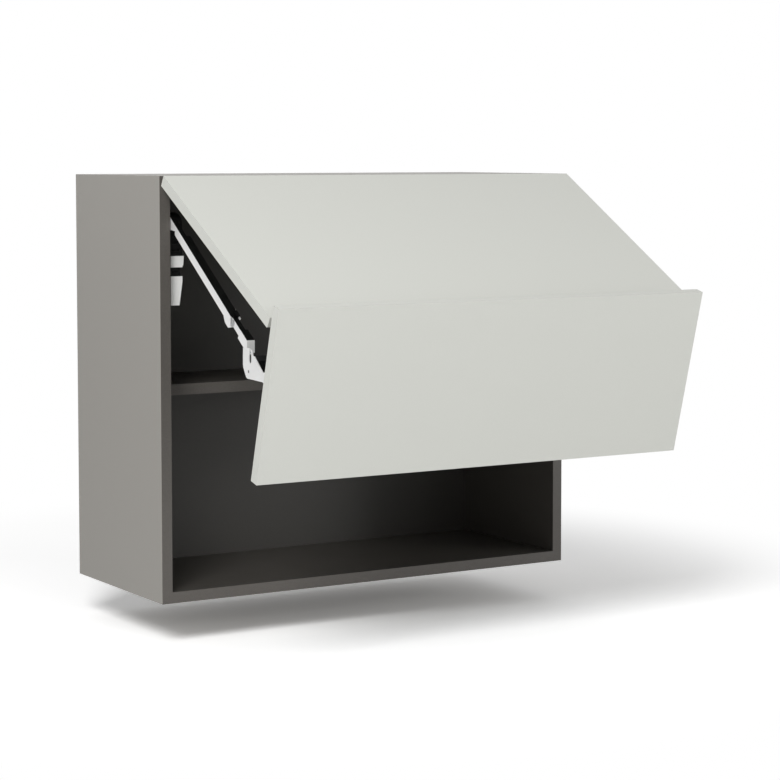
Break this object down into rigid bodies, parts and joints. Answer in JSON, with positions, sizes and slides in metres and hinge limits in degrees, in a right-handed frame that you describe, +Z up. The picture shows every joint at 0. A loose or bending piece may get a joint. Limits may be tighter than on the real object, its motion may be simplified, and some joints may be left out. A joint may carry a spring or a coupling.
{
  "type": "wall cabinet with folding lift-up front",
  "caption": "A dark grey-brown wall cabinet whose two-panel pale grey front folds and lifts on telescopic side arms with white lift mechanisms.",
  "frame": {"origin": "on the wall plane, at mid width and at the height of the cabinet underside", "axes": "+X to the right seen from the front, -Y out of the wall towards the front, +Z up"},
  "size_m": [0.82, 0.7568, 0.7201],
  "materials": {
    "carcass_board": "satin",
    "back_board": "satin",
    "shelf_pin_metal": "satin",
    "dowel_wood": "matt",
    "hanger_plastic": "matt",
    "zinc_steel": "satin",
    "housing_black": "matt",
    "cover_white": "satin",
    "hinge_nickel": "satin",
    "front_board": "matt",
    "arm_metal": "satin",
    "insert_black": "satin"
  },
  "bodies": {
    "carcass": {"side_left": "carcass_board", "side_right": "carcass_board", "top_panel": "carcass_board", "bottom_panel": "carcass_board", "back_panel": "back_board", "shelf": "carcass_board", "shelf_pins": "shelf_pin_metal", "dowels": "dowel_wood", "hanger_left": "hanger_plastic", "hanger_right": "hanger_plastic", "hanger_hooks": "zinc_steel", "hanger_screws": "zinc_steel", "lift_base_left": "zinc_steel", "lift_base_right": "zinc_steel", "lift_spacers": "zinc_steel", "lift_housing_left": "housing_black", "lift_housing_right": "housing_black", "lift_cover_left": "cover_white", "lift_cover_right": "cover_white", "lift_pivots": "zinc_steel", "lift_screws": "zinc_steel", "force_screws": "zinc_steel", "top_hinge_plates": "hinge_nickel", "top_hinge_arms": "hinge_nickel", "top_hinge_screws": "zinc_steel"},
    "upper_flap": {"upper_front": "front_board", "top_hinge_cups": "hinge_nickel", "mid_hinge_plates": "hinge_nickel", "mid_hinge_arms": "hinge_nickel", "mid_arm_pins": "zinc_steel", "mid_plate_screws": "zinc_steel"},
    "top_links": {"top_hinge_links": "hinge_nickel"},
    "middle_links": {"mid_hinge_links": "hinge_nickel", "mid_link_pins": "zinc_steel"},
    "lower_flap": {"lower_front": "front_board", "mid_hinge_cups": "hinge_nickel", "arm_bracket_left": "arm_metal", "arm_bracket_right": "arm_metal", "bracket_caps": "insert_black", "bracket_screws": "zinc_steel"},
    "arm_l": {"lever_left": "arm_metal", "outer_arm_left": "arm_metal", "arm_insert_left": "insert_black", "inner_arm_left": "arm_metal", "arm_clamp_left": "arm_metal", "arm_pin_left": "zinc_steel", "clamp_screw_left": "zinc_steel"},
    "arm_r": {"lever_right": "arm_metal", "outer_arm_right": "arm_metal", "arm_insert_right": "insert_black", "inner_arm_right": "arm_metal", "arm_clamp_right": "arm_metal", "arm_pin_right": "zinc_steel", "clamp_screw_right": "zinc_steel"}
  },
  "joints": [
    {"name": "front_lift", "type": "hinge", "parent": "carcass", "child": "upper_flap", "pos_m": [0, -0.36106, 0.7134], "axis": [-1, 0, 0], "range_deg": [-60.07, 10.93]},
    {"name": "top_link_turn", "type": "hinge", "parent": "carcass", "child": "top_links", "pos_m": [0, -0.36106, 0.7134], "axis": [-1, 0, 0], "range_deg": [-30.04, 5.47]},
    {"name": "middle_link_turn", "type": "hinge", "parent": "upper_flap", "child": "middle_links", "pos_m": [0, -0.70612, 0.48014], "axis": [-1, 0, 0], "range_deg": [-32.42, 5.91]},
    {"name": "fold", "type": "hinge", "parent": "middle_links", "child": "lower_flap", "pos_m": [0, -0.738, 0.50245], "axis": [1, 0, 0], "range_deg": [-107.8, 19.65]},
    {"name": "arm_turn_l", "type": "hinge", "parent": "carcass", "child": "arm_l", "pos_m": [-0.381, -0.2122, 0.6302], "axis": [-1, 0, 0], "range_deg": [-60.1, 10.95]},
    {"name": "arm_turn_r", "type": "hinge", "parent": "carcass", "child": "arm_r", "pos_m": [0.381, -0.2122, 0.6302], "axis": [-1, 0, 0], "range_deg": [-60.1, 10.95]}
  ],
  "couplings": [
    {"joint": "top_link_turn", "follows": "front_lift", "ratio": 0.5},
    {"joint": "middle_link_turn", "follows": "front_lift", "ratio": 0.53943},
    {"joint": "fold", "follows": "front_lift", "ratio": 1.7939},
    {"joint": "arm_turn_l", "follows": "front_lift", "ratio": 1},
    {"joint": "arm_turn_r", "follows": "front_lift", "ratio": 1}
  ]
}
